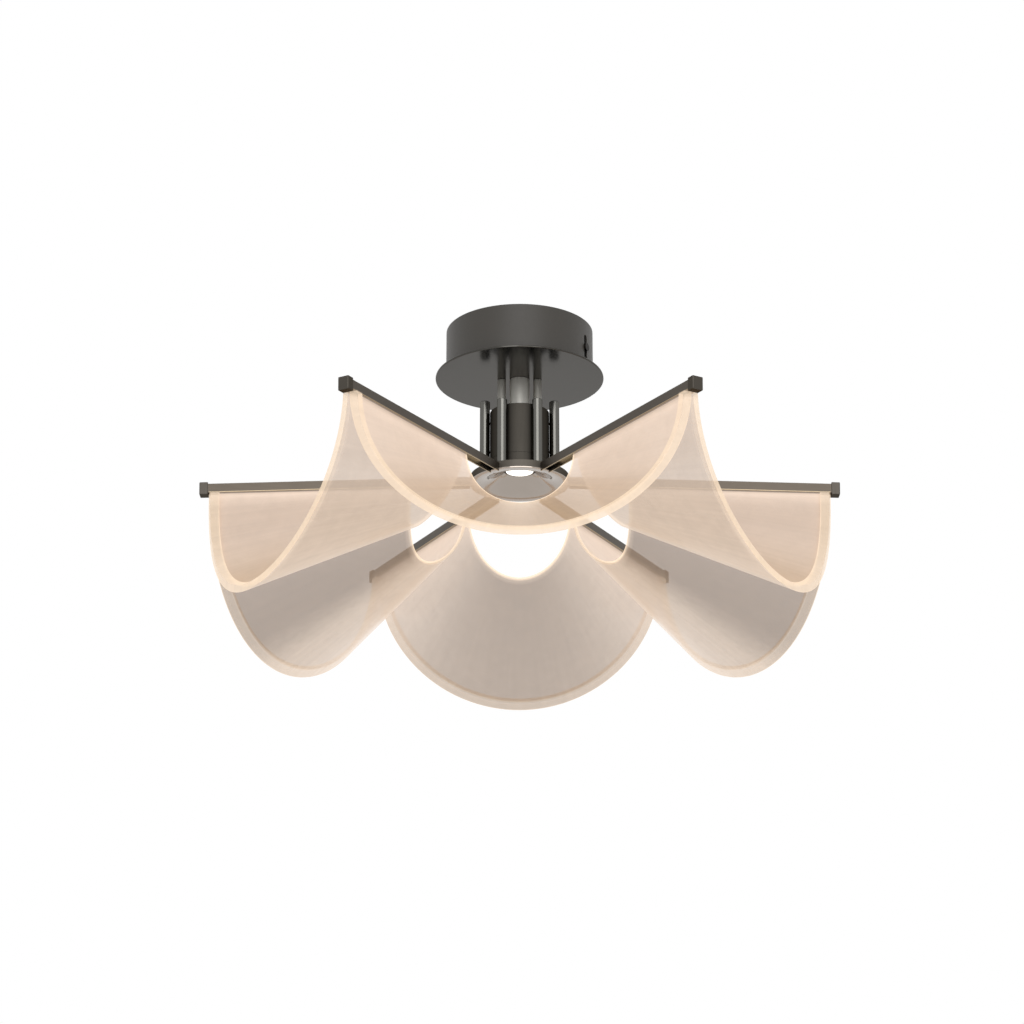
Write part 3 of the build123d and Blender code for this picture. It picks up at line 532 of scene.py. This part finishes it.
tone = add(
    tree,
    "ShaderNodeMix",
    {"data_type": "RGBA", 6: linear("4d4740"), 7: linear("554e46")},
    {0: cloud},
).outputs[2]
rough = add(tree, "ShaderNodeMapRange", {"To Min": 0.28, "To Max": 0.4}, {"Value": die_lines})
apart = add(tree, "ShaderNodeSeparateXYZ", {}, {0: place})
level_place = add(
    tree, "ShaderNodeCombineXYZ", {}, {0: apart.outputs["X"], 1: apart.outputs["Y"]}
)
reach = add(
    tree, "ShaderNodeVectorMath", {"operation": "LENGTH"}, {0: level_place}
).outputs["Value"]
centre_line = add(
    tree,
    "ShaderNodeMath",
    {"operation": "MULTIPLY_ADD", 1: -tan(arm_droop), 2: arm_level},
    {0: reach},
)
lowered = add(
    tree, "ShaderNodeMath", {"operation": "SUBTRACT"}, {0: centre_line, 1: apart.outputs["Z"]}
)
# Painted highlight: the arm's surface more than lip_depth below its centre line turns pale
lip_highlight = add(
    tree,
    "ShaderNodeMapRange",
    {"From Min": lip_depth - half_blur, "From Max": lip_depth + half_blur},
    {"Value": lowered},
)
on_channel = add(
    tree,
    "ShaderNodeMapRange",
    {"From Min": channel_end + 5 * half_blur, "From Max": channel_end - 5 * half_blur},
    {"Value": reach},
)
lip_highlight = add(tree, "ShaderNodeMath", {"operation": "MULTIPLY"}, {0: lip_highlight, 1: on_channel})
tone = add(
    tree, "ShaderNodeMix", {"data_type": "RGBA", 7: linear("a8977d")}, {0: lip_highlight, 6: tone}
).outputs[2]
surface = add(
    tree, "ShaderNodeBsdfPrincipled", {"Metallic": 1.0}, {"Base Color": tone, "Roughness": rough}
)
add(tree, "ShaderNodeOutputMaterial", {}, {"Surface": surface})
arm_edge = 0.0003
cap_edge = 0.0005
for number in range(1, 7):
    dress(anodised_bronze, eased("arm_%d" % number, arm_edge).name)
    dress(bronze_patina, eased("end_cap_%d" % number, cap_edge).name)

# Light strips: narrow white circuit boards with a row of lit chips, glued under each arm's web.
# Their phosphor glows a warm white, a little uneven over each 3 mm chip.
chip_scale = 1 / 0.003
strip_strength = 1.6
lit_strip = emptied("lit_strip_phosphor")
tree = lit_strip.node_tree
place = add(tree, "ShaderNodeTexCoord").outputs["Object"]
chip = add(tree, "ShaderNodeTexNoise", {"Scale": chip_scale, "Detail": 1.0}, {"Vector": place})
tone = add(
    tree,
    "ShaderNodeMix",
    {"data_type": "RGBA", 6: linear("ffe2b4"), 7: linear("fff0d2")},
    {0: chip},
).outputs[2]
surface = add(
    tree,
    "ShaderNodeBsdfPrincipled",
    {"Emission Strength": strip_strength, "Base Color": linear("b8b4a8"), "Roughness": 0.5},
    {"Emission Color": tone},
)
add(tree, "ShaderNodeOutputMaterial", {}, {"Surface": surface})
dress(lit_strip, *["led_strip_%d" % number for number in range(1, 7)])

# Arm dividers: strips of extruded black rubber between the two sheets in each arm, matt, with a
# fine bloom about 1 mm across.
bloom_size = 0.001
black_rubber = grained(
    "extruded_black_rubber", bloom_size, 2.0, ("2c2a28", "383532"), (0.6, 0.8), {"IOR": 1.52}
)
dress(black_rubber, "arm_dividers")

# Petals: six sheets of 2.5 mm frosted acrylic, bent hot into troughs and hung in the arms. Light
# from the arms' strips runs inside each sheet and leaves at its cut edges and its thickened rim.
# The sheets' glow is painted: an emission that stands in for that light.
edge_lit = emptied("edge_lit_acrylic")
tree = edge_lit.node_tree
place = add(tree, "ShaderNodeTexCoord").outputs["Object"]
apart = add(tree, "ShaderNodeSeparateXYZ", {}, {0: place})

# Each petal's own lengths, folded from the six azimuths into one: outwards and aside, in metres
sector = pi / 3
azimuth = add(
    tree,
    "ShaderNodeMath",
    {"operation": "ARCTAN2"},
    {0: apart.outputs["Y"], 1: apart.outputs["X"]},
)
wrapped = add(tree, "ShaderNodeMath", {"operation": "FLOORED_MODULO", 1: sector}, {0: azimuth})
folded = add(tree, "ShaderNodeMath", {"operation": "SUBTRACT", 1: sector / 2}, {0: wrapped})
level_place = add(
    tree, "ShaderNodeCombineXYZ", {}, {0: apart.outputs["X"], 1: apart.outputs["Y"]}
)
reach = add(
    tree, "ShaderNodeVectorMath", {"operation": "LENGTH"}, {0: level_place}
).outputs["Value"]
cosine = add(tree, "ShaderNodeMath", {"operation": "COSINE"}, {0: folded})
sine = add(tree, "ShaderNodeMath", {"operation": "SINE"}, {0: folded})
along = add(tree, "ShaderNodeMath", {"operation": "MULTIPLY"}, {0: reach, 1: cosine})
aside = add(tree, "ShaderNodeMath", {"operation": "MULTIPLY"}, {0: reach, 1: sine})

# Level distances from the outer cut and from the inner cut, which are arcs seen from above
outer_cut_centre = (-0.4728, 0.0, 0.0)
outer_cut_radius = 0.7397
inner_cut_centre = (0.0229, 0.0, 0.0)
inner_cut_radius = 0.0826
level_spot = add(tree, "ShaderNodeCombineXYZ", {}, {0: along, 1: aside})
outer_arc = add(
    tree, "ShaderNodeVectorMath", {"operation": "DISTANCE", 1: outer_cut_centre}, {0: level_spot}
).outputs["Value"]
from_rim = add(
    tree, "ShaderNodeMath", {"operation": "SUBTRACT", 0: outer_cut_radius}, {1: outer_arc}
)
inner_arc = add(
    tree, "ShaderNodeVectorMath", {"operation": "DISTANCE", 1: inner_cut_centre}, {0: level_spot}
).outputs["Value"]
from_arch = add(
    tree, "ShaderNodeMath", {"operation": "SUBTRACT", 1: inner_cut_radius}, {0: inner_arc}
)

# Depth below the arms' centre lines, and the place on the half ellipse: under 1 is the inner face
bottom_slope = radians(27.8)
arm_fall = tan(arm_droop) / cos(sector / 2)
bottom_fall = tan(bottom_slope) - arm_fall
depth_at_axis = 0.0053
sheet_offset = 0.00205
sunk = add(
    tree, "ShaderNodeMath", {"operation": "MULTIPLY_ADD", 1: -arm_fall, 2: arm_level}, {0: along}
)
depth = add(
    tree, "ShaderNodeMath", {"operation": "SUBTRACT"}, {0: sunk, 1: apart.outputs["Z"]}
)
below = add(tree, "ShaderNodeMath", {"operation": "MAXIMUM", 1: 0.0}, {0: depth})
full_depth = add(
    tree,
    "ShaderNodeMath",
    {"operation": "MULTIPLY_ADD", 1: bottom_fall, 2: depth_at_axis},
    {0: along},
)
half_width = add(
    tree,
    "ShaderNodeMath",
    {"operation": "MULTIPLY_ADD", 1: tan(sector / 2), 2: -sheet_offset / cos(sector / 2)},
    {0: along},
)
across_part = add(tree, "ShaderNodeMath", {"operation": "DIVIDE"}, {0: aside, 1: half_width})
down_part = add(tree, "ShaderNodeMath", {"operation": "DIVIDE"}, {0: below, 1: full_depth})
section_spot = add(tree, "ShaderNodeCombineXYZ", {}, {0: across_part, 1: down_part})
section = add(
    tree, "ShaderNodeVectorMath", {"operation": "LENGTH"}, {0: section_spot}
).outputs["Value"]
inside = add(
    tree, "ShaderNodeMapRange", {"From Min": 1.0, "From Max": 0.999}, {"Value": section}
)

# The sheet is unevenly lit: faint streaks 3 mm apart run out along it, among 14 mm wide patches
streak_width = 0.003
mean_radius = 0.09
lengthwise = 0.02
face_shift = 5.0
patch_scale = 1 / 0.014
turned = add(tree, "ShaderNodeMath", {"operation": "ARCTAN2"}, {0: across_part, 1: down_part})
streak_place = add(tree, "ShaderNodeCombineXYZ", {}, {0: turned, 1: along, 2: inside})
streak_spot = add(
    tree,
    "ShaderNodeMapping",
    {"Scale": (mean_radius / streak_width, lengthwise / streak_width, face_shift)},
    {"Vector": streak_place},
)
streaks = add(tree, "ShaderNodeTexNoise", {"Scale": 1.0, "Detail": 3.0}, {"Vector": streak_spot})
patches = add(
    tree,
    "ShaderNodeTexNoise",
    {"Scale": patch_scale, "Detail": 3.0, "Distortion": 0.8},
    {"Vector": place},
)
uneven = add(tree, "ShaderNodeMath", {"operation": "ADD"}, {0: streaks, 1: patches})
shade = add(
    tree,
    "ShaderNodeMapRange",
    {"From Min": 0.6, "From Max": 1.4, "To Min": 0.93, "To Max": 1.15},
    {"Value": uneven},
)

# Masks for what is lit: the cut edges, the thickened rim and a line beside the inner cut, both on
# the inner face, and softer bands beside the cuts
cut_from = 0.0006
cut_to = 0.0002
rim_reach = 0.008
rim_step = 0.0082
rim_blur = 0.0006
arch_line_width = 0.0024
arch_line_blur = 0.0004
arch_reach = 0.006
outer_cut = add(
    tree, "ShaderNodeMapRange", {"From Min": cut_from, "From Max": cut_to}, {"Value": from_rim}
)
inner_cut = add(
    tree, "ShaderNodeMapRange", {"From Min": cut_from, "From Max": cut_to}, {"Value": from_arch}
)
cut = add(tree, "ShaderNodeMath", {"operation": "MAXIMUM"}, {0: outer_cut, 1: inner_cut})
rim_band = add(
    tree,
    "ShaderNodeMapRange",
    {"From Min": rim_reach + rim_blur, "From Max": rim_reach - rim_blur},
    {"Value": from_rim},
)
inner_rim = add(tree, "ShaderNodeMath", {"operation": "MULTIPLY"}, {0: rim_band, 1: inside})
arch_line = add(
    tree,
    "ShaderNodeMapRange",
    {
        "From Min": arch_line_width + arch_line_blur,
        "From Max": arch_line_width - arch_line_blur,
    },
    {"Value": from_arch},
)
arch_line = add(tree, "ShaderNodeMath", {"operation": "MULTIPLY"}, {0: arch_line, 1: inside})
inner_lines = add(tree, "ShaderNodeMath", {"operation": "MAXIMUM"}, {0: inner_rim, 1: arch_line})
lit_edge = add(tree, "ShaderNodeMath", {"operation": "MAXIMUM"}, {0: cut, 1: inner_lines})
arch_band = add(
    tree,
    "ShaderNodeMapRange",
    {"From Min": arch_reach, "From Max": 0.0, "To Max": 0.6},
    {"Value": from_arch},
)
rim_root = add(
    tree, "ShaderNodeMath", {"operation": "COMPARE", 1: rim_step, 2: rim_blur}, {0: from_rim}
)
rim_light = add(tree, "ShaderNodeMapRange", {"To Min": 0.12, "To Max": 0.5}, {"Value": rim_root})
under_rim = add(tree, "ShaderNodeMath", {"operation": "MULTIPLY"}, {0: rim_band, 1: rim_light})
soft_band = add(tree, "ShaderNodeMath", {"operation": "MAXIMUM"}, {0: arch_band, 1: under_rim})

# Under each arm comes a shaded line 1 mm wide, and then a glow that fades over 5 mm
arm_half_height = 0.00425
line_width = 0.001
line_blur = 0.0004
glow_reach = 0.005
under_arm = add(
    tree, "ShaderNodeMath", {"operation": "SUBTRACT", 1: arm_half_height + line_width}, {0: below}
)
shaded_line = add(
    tree, "ShaderNodeMapRange", {"From Max": line_blur, "To Min": 0.45}, {"Value": under_arm}
)
past_line = add(tree, "ShaderNodeMath", {"operation": "MAXIMUM", 1: 0.0}, {0: under_arm})
faded = add(tree, "ShaderNodeMath", {"operation": "DIVIDE", 1: -glow_reach}, {0: past_line})
arm_glow = add(tree, "ShaderNodeMath", {"operation": "EXPONENT"}, {0: faded})
soft_glow = add(tree, "ShaderNodeMath", {"operation": "MAXIMUM"}, {0: soft_band, 1: arm_glow})

# The inner face is painted cream near the arms, where the strips' light falls on it, and peach
# in the bottom of the trough. The outer face is a smoky mauve seen squarely, and a painted sheen
# makes it glow cream at a slant, where the sheet shows more of its light
in_bottom = add(
    tree,
    "ShaderNodeMapRange",
    {"interpolation_type": "SMOOTHSTEP", "From Min": 0.4, "From Max": 1.0},
    {"Value": down_part},
)
# Painted light: the inner face turns from cream near the arms to peach towards the bottom
inner_painted_light_tone = add(
    tree,
    "ShaderNodeMix",
    {"data_type": "RGBA", 6: linear("bca999"), 7: linear("967b5e")},
    {0: in_bottom},
).outputs[2]
sheet_tone_with_painted_light = add(
    tree,
    "ShaderNodeMix",
    {"data_type": "RGBA", 6: linear("7d6f66")},
    {0: inside, 7: inner_painted_light_tone},
).outputs[2]
# Painted light in the base colour: cream on the lit edges, darker on the shaded line under arms
sheet_tone_with_painted_light = add(
    tree,
    "ShaderNodeMix",
    {"data_type": "RGBA", 7: linear("bcaa96")},
    {0: lit_edge, 6: sheet_tone_with_painted_light},
).outputs[2]
sheet_tone_with_painted_light = add(
    tree, "ShaderNodeVectorMath", {"operation": "SCALE"}, {0: sheet_tone_with_painted_light, "Scale": shaded_line}
)
glow_tone = add(
    tree,
    "ShaderNodeMix",
    {"data_type": "RGBA", 6: linear("e7d3bf")},
    {0: inside, 7: inner_painted_light_tone},
).outputs[2]
glow_tone = add(
    tree,
    "ShaderNodeMix",
    {"data_type": "RGBA", 7: linear("c8b49c")},
    {0: lit_edge, 6: glow_tone},
).outputs[2]
# Painted sheen: the outer face's glow grows the more slantwise the face is seen
slant = add(tree, "ShaderNodeLayerWeight", {"Blend": 0.5}).outputs["Facing"]
painted_sheen = add(
    tree,
    "ShaderNodeMapRange",
    {
        "interpolation_type": "SMOOTHSTEP",
        "From Min": 0.22,
        "From Max": 0.5,
        "To Min": 0.13,
        "To Max": 0.62,
    },
    {"Value": slant},
)
outer_glow = add(
    tree, "ShaderNodeMapRange", {"To Max": 0.72}, {"Value": soft_glow, "To Min": painted_sheen}
)
inner_glow = add(
    tree, "ShaderNodeMapRange", {"To Min": 0.95, "To Max": 1.25}, {"Value": soft_glow}
)
glow = add(
    tree,
    "ShaderNodeMapRange",
    {},
    {"Value": inside, "To Min": outer_glow, "To Max": inner_glow},
)
glow = add(tree, "ShaderNodeMapRange", {"To Max": 1.0}, {"Value": lit_edge, "To Min": glow})
glow = add(tree, "ShaderNodeMapRange", {"To Max": 1.4}, {"Value": arch_line, "To Min": glow})
glow = add(tree, "ShaderNodeMath", {"operation": "MULTIPLY"}, {0: glow, 1: shaded_line})
glow = add(tree, "ShaderNodeMath", {"operation": "MULTIPLY"}, {0: glow, 1: shade})
dents = add(tree, "ShaderNodeBump", {"Strength": 0.12, "Distance": 0.0004}, {"Height": uneven})
surface = add(
    tree,
    "ShaderNodeBsdfPrincipled",
    {"Roughness": 0.3, "Alpha": 0.58, "IOR": 1.49},
    {
        "Base Color": sheet_tone_with_painted_light,
        "Emission Color": glow_tone,
        "Emission Strength": glow,
        "Normal": dents,
    },
)
add(tree, "ShaderNodeOutputMaterial", {}, {"Surface": surface})
sheet_edge = 0.0003
for number in range(1, 7):
    petal = eased("petal_%d" % number, sheet_edge, keep_flat=False)
    dress(edge_lit, petal.name)
